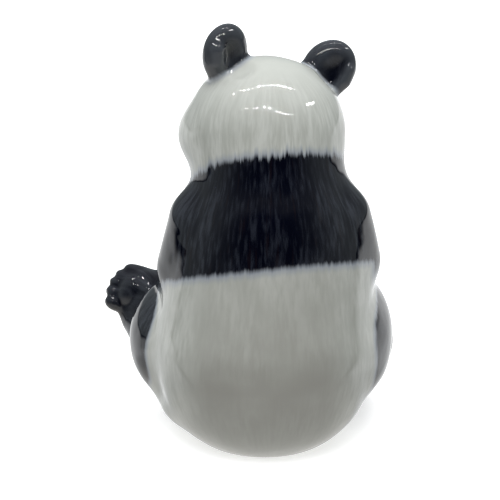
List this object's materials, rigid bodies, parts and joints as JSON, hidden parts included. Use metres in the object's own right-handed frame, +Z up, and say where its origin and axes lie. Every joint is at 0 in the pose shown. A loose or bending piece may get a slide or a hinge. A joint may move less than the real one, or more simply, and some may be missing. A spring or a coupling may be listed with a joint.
{
  "type": "panda figurine",
  "caption": "Glazed porcelain figurine of a sitting panda, its head turned aside and its left foot drawn up into its paw, standing on a flat underside.",
  "frame": {"origin": "on the table, under the middle of the rump", "axes": "+Z is up, the figurine faces -Y, and its left side, with the drawn-up foot, is +X"},
  "size_m": [0.1189, 0.1055, 0.165],
  "materials": {
    "porcelain": "Glossy clear glaze over brushed underglaze colour: near-black and pale greenish white, with feathered blue edges between them."
  },
  "bodies": {
    "root": {"figurine": "porcelain"}
  },
  "joints": []
}
